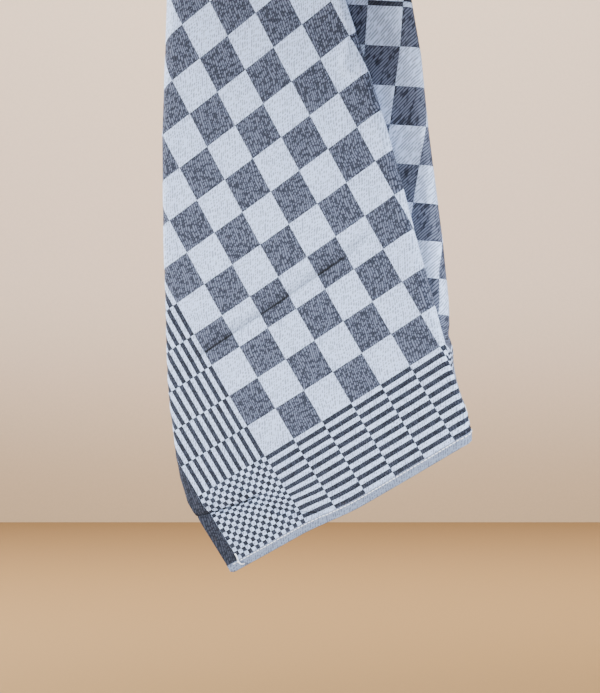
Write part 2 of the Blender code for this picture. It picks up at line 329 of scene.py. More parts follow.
def lowerSection(z, startX, turns):
    # front panel, its fold round to the side face, the side face, a wide turn and the part behind
    foldStart, foldRadius, heading = turns[2:5]
    heading = np.radians(heading)
    none = np.zeros_like(z)
    front = foldStart - startX
    fold = foldRadius * heading
    sideRun = none + hang["sideRun"]
    wideTurn = hang["rightWideRadius"] * (math.pi - heading)
    dropped = smoothStep(z - hang["sideDropLow"], hang["sideDropHigh"] - hang["sideDropLow"])
    hem = hemPoint(z)
    side = panelPoint(foldStart + fold + sideRun, z + hang["sideDrop"] * dropped)
    corners = [panelPoint(startX, z), panelPoint(foldStart, z), side, hem]
    stretches = [front, fold + sideRun, np.hypot(*(hem - side).T)]
    marks = [front, front + fold] + [front + fold + share * sideRun for share in hang["sideMarks"]]
    marks.append(marks[-1] + wideTurn)
    arcs = (
        (none, front, none, none),
        (front, fold, none, heading),
        (front + fold, sideRun, heading, none),
        (front + fold + sideRun, wideTurn, heading, math.pi - heading),
        (front + fold + sideRun + wideTurn, none + cloth["width"], none + math.pi, none),
    )
    return laidSection(z, startX, turns, marks, corners, stretches, arcs)


def upperSection(z, startX, turns):
    # front panel, its fold, the hidden layer going left, the rear fold, the layer beside the panel,
    # the right turn and the part behind
    foldStart, foldRadius, heading, sideX, sideRadius = turns[2:]
    none = np.zeros_like(z)
    back = none + math.pi
    front = foldStart - startX
    half = 0.5 * math.pi * foldRadius
    foldX = foldStart + half
    rearHalf = none + 0.5 * math.pi * hang["rearRadius"]
    tightTurn = sideRadius * tight
    wideTurn = none + hang["rightWideRadius"] * wide
    halfTurn = 0.5 * (tightTurn + wideTurn)
    apart = backPoint(foldX, z) - panelPoint(foldX, z)
    hidden = hang["hiddenShare"] * np.hypot(*apart.T)
    beside = sideX - foldX + hidden
    hem = hemPoint(z)
    side = backPoint(sideX + halfTurn, z)
    corners = [panelPoint(startX, z), panelPoint(foldX, z), backPoint(foldX - hidden, z), side, hem]
    stretches = [front + half, hidden, beside + halfTurn, np.hypot(*(hem - side).T)]
    fold = front + 2.0 * half
    rear = front + half + hidden
    turnStart = rear + beside
    marks = [front, fold, rear - rearHalf, rear + rearHalf, turnStart,
             turnStart + tightTurn, turnStart + tightTurn + wideTurn]
    arcs = (
        (none, front, none, none),
        (front, 2.0 * half, none, back),
        (fold, rear - rearHalf - fold, back, none),
        (rear - rearHalf, 2.0 * rearHalf, back, -back),
        (rear + rearHalf, beside - rearHalf, none, none),
        (turnStart, tightTurn, none, none + tight),
        (turnStart + tightTurn, wideTurn, none + tight, none + wide),
        (turnStart + tightTurn + wideTurn, none + cloth["width"], back, none),
    )
    return laidSection(z, startX, turns, marks, corners, stretches, arcs)


def hangingSurface():
    # middle surface of the cloth as rows of points, with each point's flat place u, v;
    # the two kinds of section are mixed by height, and the rows stretched
    lowest = left * turnSin + bottom * turnCos + hang["trim"]
    rows = int((hang["highest"] - lowest) / rowSpacing)
    z = np.linspace(lowest, hang["highest"], rows)
    turns = [np.interp(z, turnRows[:, 0], turnRows[:, column]) for column in range(1, 8)]
    startX = sectionStart(z)
    folded = smoothStep(z - hang["foldedFrom"], hang["foldedAt"] - hang["foldedFrom"])[:, None, None]
    low, lowFlat = lowerSection(z, startX, turns)
    high, highFlat = upperSection(z, startX, turns)
    plan = low + folded * (high - low)
    level = np.broadcast_to(z[:, None], plan.shape[:2])
    height = stretched(plan[..., 0], level)
    points = np.concatenate([plan, height[..., None]], axis=-1)
    pull = cornerPull(plan[..., 0], level)[..., None]
    points = points + pull * np.array([-hang["cornerAside"], 0.0, hang["cornerRise"]])
    flat = lowFlat + folded * (highFlat - lowFlat) - np.array([left, bottom])
    return points, flat


def surfaceNormals(points):
    # cross product of the central differences along and across the rows, facing the front
    along = np.gradient(points, axis=1)
    up = np.gradient(points, axis=0)
    normal = np.cross(along, up)
    return normal / np.maximum(np.linalg.norm(normal, axis=-1, keepdims=True), tiny)


def clothThickness(flat):
    # thickness + hem extra within a hem + selvedge extra near a selvedge, each with a soft edge
    u, v = flat[..., 0], flat[..., 1]
    fromHem = np.minimum(v, cloth["length"] - v)
    fromSelvedge = np.minimum(u, cloth["width"] - u)
    hem = 1.0 - smoothStep(fromHem - cloth["hemWidth"], cloth["hemSoftness"])
    selvedge = 1.0 - smoothStep(fromSelvedge - cloth["selvedgeBand"], cloth["selvedgeSoftness"])
    return cloth["thickness"] + cloth["hemExtra"] * hem + cloth["selvedgeExtra"] * selvedge


def gridFaces(rows, columns, offset, flip):
    # quads of a grid: corners at row, column and their next ones, wound the other way if flipped
    index = np.arange(rows * columns).reshape(rows, columns) + offset
    quads = np.stack([index[:-1, :-1], index[:-1, 1:], index[1:, 1:], index[1:, :-1]], axis=-1)
    quads = quads.reshape(-1, 4)
    return quads[:, ::-1] if flip else quads


def rimFaces(rows, columns, offset):
    # quads between the two sides' border points, all the way round
    index = np.arange(rows * columns).reshape(rows, columns)
    ring = np.concatenate([index[0, :-1], index[:-1, -1], index[-1, :0:-1], index[:0:-1, 0]])
    following = np.roll(ring, -1)
    return np.stack([ring, ring + offset, following + offset, following], axis=-1)


def clothMesh(name, points, flat):
    # front = points + normal thickness / 2, back = points - normal thickness / 2
    rows, columns = points.shape[:2]
    half = 0.5 * clothThickness(flat)[..., None] * surfaceNormals(points)
    count = rows * columns
    verts = np.concatenate([(points + half).reshape(-1, 3), (points - half).reshape(-1, 3)])
    faces = np.concatenate([
        gridFaces(rows, columns, 0, False),
        gridFaces(rows, columns, count, True),
        rimFaces(rows, columns, count),
    ])
    mesh = bpy.data.meshes.new(name)
    mesh.from_pydata(verts.tolist(), [], faces.tolist())
    uv = mesh.uv_layers.new(name="weave")
    corners = np.empty(len(mesh.loops), dtype=np.int32)
    mesh.loops.foreach_get("vertex_index", corners)
    flatTwice = np.concatenate([flat.reshape(-1, 2), flat.reshape(-1, 2)])
    uv.data.foreach_set("uv", flatTwice[corners].astype(np.float32).ravel())
    mesh.shade_smooth()
    mesh.update()
    return mesh


def linked(name, data):
    made = bpy.data.objects.new(name, data)
    bpy.context.collection.objects.link(made)
    return made


def addPiece(name, mesh, material):
    piece = linked(name, mesh)
    piece.data.materials.append(material)
    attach(piece, "root")
    return piece


def flatLine(level, points, normals, flat, steps):
    # points of the line v = level: crossings along rows and columns, sorted by u and
    # interpolated at even steps of u
    fields = np.concatenate([flat, points, normals], axis=-1)
    found = []
    for lower, upper in ((fields[:, :-1], fields[:, 1:]), (fields[:-1], fields[1:])):
        before, after = lower[..., 1] - level, upper[..., 1] - level
        crosses = before * after < 0.0
        share = (before[crosses] / (before[crosses] - after[crosses]))[:, None]
        found.append(lower[crosses] * (1.0 - share) + upper[crosses] * share)
    found = np.concatenate(found)
    found = found[np.argsort(found[:, 0])]
    line = np.stack([np.interp(steps, found[:, 0], found[:, axis]) for axis in range(2, 8)], axis=-1)
    return line[:, :3], line[:, 3:]


def tubes(name, paths, sides, radii, material):
    # paths: tubes × points × 3; ring = path + radius (cos turn · across + sin turn · up),
    # where across and up are square to the path; one face closes each end
    count, length = paths.shape[:2]
    ahead = np.gradient(paths, axis=1)
    ahead /= np.maximum(np.linalg.norm(ahead, axis=-1, keepdims=True), tiny)
    upright = np.abs(ahead[..., 2:3]) >= 0.9
    across = np.cross(ahead, np.where(upright, [[[1.0, 0.0, 0.0]]], [[[0.0, 0.0, 1.0]]]))
    across /= np.maximum(np.linalg.norm(across, axis=-1, keepdims=True), tiny)
    up = np.cross(across, ahead)
    turn = np.linspace(0.0, 2.0 * math.pi, sides, endpoint=False)[None, None, :, None]
    ring = np.cos(turn) * across[:, :, None, :] + np.sin(turn) * up[:, :, None, :]
    verts = paths[:, :, None, :] + radii[None, :, None, None] * ring
    index = np.arange(count * length * sides).reshape(count, length, sides)
    beside = np.roll(index, -1, axis=2)
    quads = np.stack([index[:, :-1], index[:, 1:], beside[:, 1:], beside[:, :-1]], axis=-1)
    starts = index[:, 0].reshape(-1, sides)
    ends = index[:, -1, ::-1].reshape(-1, sides)
    faces = quads.reshape(-1, 4).tolist() + starts.tolist() + ends.tolist()
    mesh = bpy.data.meshes.new(name)
    mesh.from_pydata(verts.reshape(-1, 3).tolist(), [], faces)
    mesh.shade_smooth()
    return addPiece(name, mesh, material)


# helpers for shader trees
def plug(tree, value, socket):
    # joins an output to the socket, or sets a plain value on it
    if isinstance(value, bpy.types.NodeSocket):
        tree.links.new(value, socket)
    else:
        socket.default_value = value


def node(tree, kind, **settings):
    # new node with its settings, laid out in rows of nine
    made = tree.nodes.new(kind)
    made.location = (200 * (len(tree.nodes) % 9), -220 * (len(tree.nodes) // 9))
    for name, value in settings.items():
        setattr(made, name, value)
    return made


def feed(tree, made, **inputs):
    # inputs by name, with underscores for spaces
    for name, value in inputs.items():
        plug(tree, value, made.inputs[name.replace("_", " ")])
    return made


def calc(tree, operation, *values, clamp=False):
    made = node(tree, "ShaderNodeMath", operation=operation, use_clamp=clamp)
    for socket, value in zip(made.inputs, values):
        plug(tree, value, socket)
    return made.outputs[0]


def mixed(tree, share, first, second, kind="RGBA"):
    # first (1 - share) + second · share, for colours, or for numbers where kind is FLOAT
    made = node(tree, "ShaderNodeMix", data_type=kind)
    ending, output = {"RGBA": ("Color", 2), "FLOAT": ("Float", 0)}[kind]
    sockets = {socket.identifier: socket for socket in made.inputs}
    plug(tree, share, sockets["Factor_Float"])
    plug(tree, first, sockets["A_" + ending])
    plug(tree, second, sockets["B_" + ending])
    return made.outputs[output]


def smoothRange(tree, value, start, end, first=0.0, last=1.0):
    # first below the start, last past the end, a smooth step between them
    made = node(tree, "ShaderNodeMapRange", interpolation_type="SMOOTHSTEP")
    feed(tree, made, Value=value, From_Min=start, From_Max=end, To_Min=first, To_Max=last)
    return made.outputs[0]


def ridged(tree, place):
    # sin(π · fraction of the place): one rounded ridge for each whole number
    return calc(tree, "SINE", calc(tree, "MULTIPLY", calc(tree, "FRACT", place), math.pi))


def noiseAt(tree, place, scale, detail, roughness=0.5, **settings):
    made = node(tree, "ShaderNodeTexNoise", **settings)
    feed(tree, made, Vector=place, Scale=scale, Detail=detail, Roughness=roughness)
    return made.outputs["Fac"]


def newMaterial(name):
    material = bpy.data.materials.new(name)
    material.use_nodes = True
    return material, material.node_tree, material.node_tree.nodes["Principled BSDF"]


def newGroup(name, inputs, outputs):
    # inputs by name with their plain values, None for a place; outputs are names of numbers
    tree = bpy.data.node_groups.new(name, "ShaderNodeTree")
    for label, value in inputs.items():
        kind = "NodeSocketVector" if value is None else "NodeSocketFloat"
        socket = tree.interface.new_socket(name=label, in_out="INPUT", socket_type=kind)
        if value is not None:
            socket.default_value = value
    for label in outputs:
        tree.interface.new_socket(name=label, in_out="OUTPUT", socket_type="NodeSocketFloat")
    return tree, node(tree, "NodeGroupInput").outputs, node(tree, "NodeGroupOutput")


def placeGroup(tree, group, **inputs):
    made = node(tree, "ShaderNodeGroup")
    made.node_tree = group
    return feed(tree, made, **inputs).outputs


def barSequence():
    # signed distance, in bars, to the nearest edge of the sequence: whole blocks inside, narrow
    # bars on both sides; below zero in every second one, and never more than half a bar
    tree, given, out = newGroup(
        "blocks and bars",
        {"Place": 0.0, "Blocks": 16.0, "Bars In A Block": 8.0},
        ["Side", "Inside"],
    )
    place, blocks, bars = given["Place"], given["Blocks"], given["Bars In A Block"]
    past = calc(tree, "MULTIPLY", calc(tree, "GREATER_THAN", place, blocks), blocks)
    outside = calc(tree, "MULTIPLY", calc(tree, "SUBTRACT", place, past), bars)
    begun = calc(tree, "GREATER_THAN", place, 0.0)
    inside = calc(tree, "MULTIPLY", begun, calc(tree, "LESS_THAN", place, blocks))
    counted = mixed(tree, inside, outside, place, "FLOAT")
    toEdge = calc(tree, "PINGPONG", counted, 0.5)
    width = mixed(tree, inside, 1.0, bars, "FLOAT")
    reach = calc(tree, "MINIMUM", calc(tree, "MULTIPLY", toEdge, width), 0.5)
    parity = calc(tree, "FLOORED_MODULO", calc(tree, "FLOOR", counted), 2.0)
    sign = calc(tree, "MULTIPLY_ADD", parity, -2.0, 1.0)
    feed(tree, out, Side=calc(tree, "MULTIPLY", reach, sign), Inside=inside)
    return tree


def satinWeave():
    # warp on top where the face asks for it, except at every fifth crossing, stepped by two;
    # plain cloth changes at every crossing; relief is a rounded ridge along the thread on top
    tree, given, out = newGroup(
        "satin weave",
        {"Warp Thread": 0.0, "Weft Thread": 0.0, "Warp Face": 0.0, "Plain": 0.0},
        ["Warp On Top", "Relief"],
    )
    warp, weft = given["Warp Thread"], given["Weft Thread"]
    warpNumber = calc(tree, "FLOOR", warp)
    weftNumber = calc(tree, "FLOOR", weft)
    stepped = calc(tree, "MULTIPLY_ADD", warpNumber, 2.0, weftNumber)
    crossing = calc(tree, "LESS_THAN", calc(tree, "FLOORED_MODULO", stepped, 5.0), 0.5)
    satin = calc(tree, "ABSOLUTE", calc(tree, "SUBTRACT", given["Warp Face"], crossing))
    plain = calc(tree, "FLOORED_MODULO", calc(tree, "ADD", warpNumber, weftNumber), 2.0)
    onTop = mixed(tree, given["Plain"], satin, plain, "FLOAT")
    warpRidge, weftRidge = ridged(tree, warp), ridged(tree, weft)
    ridge = mixed(tree, onTop, weftRidge, warpRidge, "FLOAT")
    other = mixed(tree, onTop, warpRidge, weftRidge, "FLOAT")
    sunk = mixed(tree, crossing, 1.0, other, "FLOAT")
    feed(tree, out, Warp_On_Top=onTop, Relief=calc(tree, "MULTIPLY", ridge, sunk))
    return tree


def yarnStreaks():
    # columns along the threads, each broken into dashes by its own noise; a column is a rounded
    # ridge across, wanders a little and leans to one side
    tree, given, out = newGroup(
        "yarn streaks",
        {"Place": None, "Across": 500.0, "Along": 500.0, "Lean": 0.0, "Wander": 2.4,
         "From": 0.40, "To": 0.62},
        ["Fleck"],
    )
    parts = node(tree, "ShaderNodeSeparateXYZ")
    feed(tree, parts, Vector=given["Place"])
    drift = noiseAt(tree, given["Place"], 45.0, 1.0, noise_dimensions="2D")
    leant = calc(tree, "MULTIPLY_ADD", parts.outputs["Y"], given["Lean"], parts.outputs["X"])
    wander = calc(tree, "MULTIPLY", drift, given["Wander"])
    column = calc(tree, "MULTIPLY_ADD", leant, given["Across"], wander)
    drawn = node(tree, "ShaderNodeCombineXYZ")  # each column reads its own line of the noise
    feed(tree, drawn, X=calc(tree, "MULTIPLY", calc(tree, "FLOOR", column), 7.31),
         Y=calc(tree, "MULTIPLY", parts.outputs["Y"], given["Along"]))
    speckle = noiseAt(tree, drawn.outputs[0], 1.0, 2.0, 0.6, noise_dimensions="2D")
    dashes = smoothRange(tree, speckle, given["From"], given["To"], 0.2, 1.0)
    feed(tree, out, Fleck=calc(tree, "MULTIPLY", dashes, ridged(tree, column)))
    return tree


def pressedLine():
    # these masks place painted shade along a crease and above it
    # mask of one bent line on the cloth laid flat: 1 on it, 0 from a half width on, and a mask of
    # its upper side, six half widths wide; both fade over the first eighth and the last fifth;
    # away = place - start, share = away · run / length²,
    # off = away × run / length - bend sin(share π)
    tree, given, out = newGroup(
        "pressed line",
        {"U": 0.0, "V": 0.0, "Start U": 0.0, "Start V": 0.0, "Run U": 0.1, "Run V": 0.0,
         "Bend": 0.0, "Half Width": 0.001},
        ["Line", "Beside"],
    )
    runU, runV, halfWidth = given["Run U"], given["Run V"], given["Half Width"]
    awayU = calc(tree, "SUBTRACT", given["U"], given["Start U"])
    awayV = calc(tree, "SUBTRACT", given["V"], given["Start V"])
    square = calc(tree, "MULTIPLY_ADD", runU, runU, calc(tree, "MULTIPLY", runV, runV))
    ahead = calc(tree, "MULTIPLY_ADD", awayU, runU, calc(tree, "MULTIPLY", awayV, runV))
    share = calc(tree, "DIVIDE", ahead, square)
    bow = calc(tree, "SINE", calc(tree, "MULTIPLY", share, math.pi))
    slipped = calc(tree, "MULTIPLY", awayU, runV)
    crossed = calc(tree, "SUBTRACT", calc(tree, "MULTIPLY", awayV, runU), slipped)
    aside = calc(tree, "DIVIDE", crossed, calc(tree, "SQRT", square))
    off = calc(tree, "SUBTRACT", aside, calc(tree, "MULTIPLY", bow, given["Bend"]))
    across = smoothRange(tree, calc(tree, "ABSOLUTE", off), 0.0, halfWidth, 1.0, 0.0)
    beside = smoothRange(tree, off, 0.0, calc(tree, "MULTIPLY", halfWidth, 6.0), 1.0, 0.0)
    above = calc(tree, "MULTIPLY", beside, calc(tree, "GREATER_THAN", off, 0.0))
    begins = calc(tree, "MULTIPLY", share, 8.0, clamp=True)
    stops = calc(tree, "MULTIPLY", calc(tree, "SUBTRACT", 1.0, share), 5.0, clamp=True)
    ends = calc(tree, "MULTIPLY", begins, stops)
    line = calc(tree, "MULTIPLY", across, ends)
    feed(tree, out, Line=line, Beside=calc(tree, "MULTIPLY", above, ends))
    return tree


# cotton damask: dark warp, pale weft, a block check with bar borders
damask = {
    "threadsInBlock": 48.0,
    "darkYarn": (0.005, 0.006, 0.011, 1.0),
    "paleYarn": (0.570, 0.705, 1.000, 1.0),
    "dullYarn": (0.138, 0.160, 0.240, 1.0),
    "warpFlecks": {"Across": 500.0, "Along": 420.0, "Lean": -0.22, "From": 0.40, "To": 0.56},
    "weftFlecks": {"Across": 430.0, "Along": 620.0, "Lean": -0.50, "From": 0.42, "To": 0.58},
    "twill": {"Across": 325.0, "Along": 180.0, "Lean": 1.1, "Wander": 0.7, "From": 0.32, "To": 0.54},
    "foldStart": 0.2560,  # the front fold on the cloth laid flat: u at v = 0, and its lean
    "foldLean": 0.249,
    "barFlecks": 0.26,  # strength of the flecks in the bars
    "paleFlecks": 0.8,  # and in the pale blocks
    "darkSpread": 0.001,  # how far the dark yarn covers past the edges of its checks
    "dotShare": 0.014,  # how much of the other yarn shows at its crossings
    "selvedgeWidth": 0.012,
    "hemFace": 0.6,  # share of the dark yarn in the plain-woven hems
    "mottleScale": 30.0,  # soft unevenness of the whole cloth
    "mottleDepth": 0.16,
    "roughness": 0.88,  # between the threads, and how much smoother their tops are
    "threadShine": 0.10,
    "specular": 0.14,
    "sheen": 0.02,
    "sheenRoughness": 0.5,
    "reliefHeight": 0.00022,
    "fuzzHeight": 0.00012,
    "fuzzScale": 2600.0,
    "bumpStrength": 0.6,
}

# creases pressed or hung into the cloth: start u, v, end u, v, bend towards the reverse at the
# middle, height of the step or ridge, its half width, half width of its line of painted shade,
# darkness of that painted shade, share of the line on the pale yarn, painted shade along the line's
# upper side
creases = np.array([
    (0.060, 0.1874, 0.262, 0.1876, 0.0000, -0.0010, 0.0026, 0.0019, 0.94, 0.30, 0.36),
    (0.239, 0.1908, 0.270, 0.1900, 0.0005, -0.0005, 0.0026, 0.0010, 0.50, 0.30, 0.20),
    (0.328, 0.3278, 0.310, 0.3038, -0.0040, 0.0020, 0.0050, 0.0006, 0.00, 0.00, 0.00),
    (-0.010, 0.0668, 0.066, 0.0532, -0.0018, -0.0026, 0.0030, 0.0027, 0.98, 1.00, 0.08),
    (0.004, 0.0752, 0.050, 0.0640, 0.0030, 0.0016, 0.0075, 0.0006, 0.00, 0.00, 0.00),
    (0.064, 0.0340, 0.104, 0.0070, -0.0010, -0.0022, 0.0035, 0.0011, 0.65, 0.60, 0.12),
])
creaseEnds = 0.12  # share of its length over which a crease rises and dies away


def paintedCreaseShade(tree, u, v, dark):
    # painted shade along the creases: product over the creases with a dark line of (1 - shade · upper
    # side) (1 - darkness · line · share), where the share is 1 on the dark yarn
    pressed = pressedLine()
    lit = 1.0
    for startU, startV, endU, endV, bend, _, _, lineWidth, darkness, onPale, shade in creases:
        if darkness > 0.0:
            line = placeGroup(tree, pressed, U=u, V=v, Start_U=startU, Start_V=startV,
                              Run_U=endU - startU, Run_V=endV - startV, Bend=bend, Half_Width=lineWidth)
            above = calc(tree, "MULTIPLY_ADD", line["Beside"], -shade, 1.0)
            depth = calc(tree, "MULTIPLY", line["Line"], mixed(tree, dark, onPale, 1.0, "FLOAT"))
            drawn = calc(tree, "MULTIPLY_ADD", depth, -darkness, 1.0)
            lit = calc(tree, "MULTIPLY", calc(tree, "MULTIPLY", above, drawn), lit)
    return lit


def damaskMaterial(streaks):
    material, tree, shader = newMaterial("blue-grey cotton damask")
    sequence, weave = barSequence(), satinWeave()
    laid = node(tree, "ShaderNodeUVMap", uv_map="weave").outputs["UV"]
    side = node(tree, "ShaderNodeAttribute", attribute_name="reverseSide").outputs["Fac"]
    reverse = calc(tree, "GREATER_THAN", side, 0.5)
    parts = node(tree, "ShaderNodeSeparateXYZ")
    feed(tree, parts, Vector=laid)
    u, v = parts.outputs["X"], parts.outputs["Y"]

    # places counted in blocks from where the blocks begin
    border = 0.5 * cloth["width"] / cloth["blockAcross"] - 0.5 * cloth["blocks"]
    across = calc(tree, "SUBTRACT", calc(tree, "DIVIDE", u, cloth["blockAcross"]), border)
    border = 0.5 * cloth["length"] / cloth["blockAlong"] - 0.5 * cloth["blocks"]
    along = calc(tree, "SUBTRACT", calc(tree, "DIVIDE", v, cloth["blockAlong"]), border)
    size = {"Blocks": float(cloth["blocks"]), "Bars_In_A_Block": 1.0 / cloth["barShare"]}
    acrossPart = placeGroup(tree, sequence, Place=across, **size)
    alongPart = placeGroup(tree, sequence, Place=along, **size)
    inBlocks = calc(tree, "MULTIPLY", acrossPart["Inside"], alongPart["Inside"])
    sides = calc(tree, "MULTIPLY", acrossPart["Side"], alongPart["Side"])
    checks = calc(tree, "LESS_THAN", sides, damask["darkSpread"])

    fromSelvedge = calc(tree, "MINIMUM", u, calc(tree, "SUBTRACT", cloth["width"], u))
    fromHem = calc(tree, "MINIMUM", v, calc(tree, "SUBTRACT", cloth["length"], v))
    selvedge = calc(tree, "LESS_THAN", fromSelvedge, damask["selvedgeWidth"])
    hem = calc(tree, "LESS_THAN", fromHem, cloth["hemWidth"])
    dark = calc(tree, "MAXIMUM", checks, selvedge)
    face = calc(tree, "ABSOLUTE", calc(tree, "SUBTRACT", dark, reverse))
    woven = placeGroup(
        tree, weave,
        Warp_Thread=calc(tree, "MULTIPLY", across, damask["threadsInBlock"]),
        Weft_Thread=calc(tree, "MULTIPLY", along, damask["threadsInBlock"]),
        Warp_Face=face, Plain=hem,
    )

    # flecks along the yarns; past the front fold the twill is seen along its other diagonal
    warpFlecks = placeGroup(tree, streaks, Place=laid, **damask["warpFlecks"])
    weftFlecks = placeGroup(tree, streaks, Place=laid, **damask["weftFlecks"])
    twill = placeGroup(tree, streaks, Place=laid, **damask["twill"])
    foldLine = calc(tree, "MULTIPLY_ADD", v, damask["foldLean"], damask["foldStart"])
    pastFold = calc(tree, "GREATER_THAN", u, foldLine)
    strength = mixed(tree, inBlocks, damask["barFlecks"], 1.0, "FLOAT")
    warpShare = mixed(tree, pastFold, warpFlecks["Fleck"], twill["Fleck"], "FLOAT")
    weftShare = mixed(tree, pastFold, weftFlecks["Fleck"], twill["Fleck"], "FLOAT")
    darkFleck = calc(tree, "MULTIPLY", warpShare, strength)
    darkYarn = mixed(tree, darkFleck, damask["darkYarn"], damask["dullYarn"])
    paleFleck = calc(tree, "MULTIPLY", weftShare, damask["paleFlecks"])
    paleYarn = mixed(tree, paleFleck, damask["paleYarn"], damask["dullYarn"])
    plainFace = mixed(tree, hem, face, damask["hemFace"], "FLOAT")
    seen = mixed(tree, damask["dotShare"], plainFace, woven["Warp On Top"], "FLOAT")
    colour = mixed(tree, seen, paleYarn, darkYarn)

    # painted shade: the creases' dark lines and the shade above them darken the cloth's colour
    lit = paintedCreaseShade(tree, u, v, dark)
    mottle = noiseAt(tree, laid, damask["mottleScale"], 3.0)
    depth = damask["mottleDepth"]
    uneven = calc(tree, "MULTIPLY_ADD", mottle, depth, 1.0 - 0.5 * depth)
    toned = node(tree, "ShaderNodeHueSaturation")
    feed(tree, toned, Color=colour, Value=calc(tree, "MULTIPLY", lit, uneven))

    fuzz = noiseAt(tree, laid, damask["fuzzScale"], 2.0)
    relief = calc(tree, "MULTIPLY", woven["Relief"], damask["reliefHeight"])
    height = calc(tree, "MULTIPLY_ADD", fuzz, damask["fuzzHeight"], relief)
    bump = node(tree, "ShaderNodeBump")
    feed(tree, bump, Height=height, Distance=1.0, Strength=damask["bumpStrength"])
    roughness = calc(tree, "MULTIPLY_ADD", woven["Relief"], -damask["threadShine"], damask["roughness"])
    feed(tree, shader, Base_Color=toned.outputs["Color"], Roughness=roughness,
         Normal=bump.outputs["Normal"])
    shader.inputs["Sheen Weight"].default_value = damask["sheen"]
    shader.inputs["Sheen Roughness"].default_value = damask["sheenRoughness"]
    shader.inputs["Specular IOR Level"].default_value = damask["specular"]
    return material


# sewing thread
thread = {
    "radius": 0.00045,
    "stitch": 0.0027,
    "pitch": 0.0036,
    "rise": 0.00016,
    "sunk": 0.00012,  # how deep a stitch's ends lie in the cloth
    "fromEnd": 0.0064,  # of the towel
    "fromSelvedges": (0.006, 0.008),
    "points": 7,
    "sides": 6,
    "colour": (0.95, 0.97, 1.00, 1.0),
    # the darker colour, laid into the grooves between the plies, is painted shade
    "shade": (0.78, 0.83, 0.94, 1.0),
    "plies": 900.0,  # scale of its twist
    "plyBump": 0.0001,
    "roughness": 0.7,
    "sheen": 0.2,
    "tieRadius": 0.00065,
    "tieTaper": 0.7,
    "tieSides": 8,
}


def threadMaterial(streaks):
    material, tree, shader = newMaterial("white sewing thread")
    place = node(tree, "ShaderNodeTexCoord").outputs["Object"]
    plies = node(tree, "ShaderNodeTexWave", wave_type="BANDS", bands_direction="DIAGONAL")
    feed(tree, plies, Vector=place, Scale=thread["plies"], Distortion=1.5)
    flecks = placeGroup(tree, streaks, Place=place)
    share = calc(tree, "MULTIPLY_ADD", flecks["Fleck"], 0.4, 0.6)
    tone = calc(tree, "MULTIPLY", plies.outputs["Fac"], share)
    bump = node(tree, "ShaderNodeBump")
    feed(tree, bump, Height=plies.outputs["Fac"], Distance=thread["plyBump"], Strength=0.5)
    # painted shade: the darker colour lies in the grooves between the ply bands, deepened at random by
    # the flecks
    feed(tree, shader, Base_Color=mixed(tree, tone, thread["shade"], thread["colour"]),
         Roughness=thread["roughness"], Normal=bump.outputs["Normal"])
    shader.inputs["Sheen Weight"].default_value = thread["sheen"]
    return material


def runningStitches(name, level, points, normals, flat, material):
    # each stitch is an arc over the cloth, on both its sides:
    # middle surface ± normal (half thickness - sunk + rise sin(share π))
    start, end = thread["fromSelvedges"]
    first = np.arange(start, cloth["width"] - end, thread["pitch"])
    share = np.linspace(0.0, 1.0, thread["points"])
    steps = first[:, None] + share * thread["stitch"]
    line, normal = flatLine(level, points, normals, flat, steps.ravel())
    line = line.reshape(len(first), len(share), 3)
    normal = normal.reshape(line.shape)
    half = 0.5 * (cloth["thickness"] + cloth["hemExtra"])
    lift = half - thread["sunk"] + thread["rise"] * np.sin(share * math.pi)
    radii = thread["radius"] * (0.55 + 0.45 * np.sin(share * math.pi) ** 0.5)  # thinner at its ends
    paths = np.concatenate([line + lift[None, :, None] * normal, line - lift[None, :, None] * normal])
    return tubes(name, paths, thread["sides"], radii, material)


# thread tied over the hem's left end: across u, along v, height over the middle of the cloth
looseThreads = {
    "tie": [(0.0124, 0.0140, 0.0007), (0.0128, 0.0122, 0.0013), (0.0126, 0.0100, 0.0016),
            (0.0121, 0.0078, 0.0017), (0.0119, 0.0060, 0.0019), (0.0123, 0.0042, 0.0019)],
    "end": [(0.0119, 0.0062, 0.0019), (0.0124, 0.0044, 0.0026), (0.0131, 0.0031, 0.0030),
            (0.0139, 0.0023, 0.0028), (0.0149, 0.0018, 0.0024), (0.0160, 0.0022, 0.0020)],
}


def threadTie(name, points, normals, flat, material):
    # each path point = cloth's middle surface at u, v + height · normal
    paths = []
    for rows in looseThreads.values():
        path = []
        for across, along, height in rows:
            place, normal = flatLine(along, points, normals, flat, np.array([across]))
            path.append(place[0] + height * normal[0])
        paths.append(path)
    radii = thread["tieRadius"] * np.linspace(1.0, thread["tieTaper"], len(path))
    return tubes(name, np.array(paths), thread["tieSides"], radii, material)


def creaseHeight(flat):
    # sum over creases of height · exp(-(distance to its bent line / half width)²) · soft ends
    height = np.zeros(flat.shape[:-1])
    for startU, startV, endU, endV, bend, rise, halfWidth in creases[:, :7]:
        run = np.array([endU - startU, endV - startV])
        length = np.hypot(*run)
        run = run / length
        away = flat - np.array([startU, startV])
        share = (away @ run) / length
        inside = np.clip(share, 0.0, 1.0)
        square = away @ np.array([-run[1], run[0]]) - bend * np.sin(math.pi * inside)
        ends = smoothStep(share, creaseEnds) * smoothStep(1.0 - share, creaseEnds)
        height = height + rise * np.exp(-(square / halfWidth) ** 2) * ends
    return height


# the cloth: laid out, moved so that the middle of its upper hem is the origin, and creased
points, flat = hangingSurface()
upperHem = points[-1]
hangingPoint = 0.5 * (upperHem.min(axis=0) + upperHem.max(axis=0))
normals = surfaceNormals(points)
points = points - hangingPoint + creaseHeight(flat)[..., None] * normals
normals = surfaceNormals(points)
print("cloth laid out:", points.shape)

streaks = yarnStreaks()
towel = addPiece("woven_towel", clothMesh("woven_towel", points, flat), damaskMaterial(streaks))
reverseSide = towel.data.attributes.new("reverseSide", "FLOAT", "POINT")
half = len(towel.data.vertices) // 2
reverseSide.data.foreach_set("value", np.repeat([0.0, 1.0], half).astype(np.float32))
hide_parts("towel")
print("cloth made")

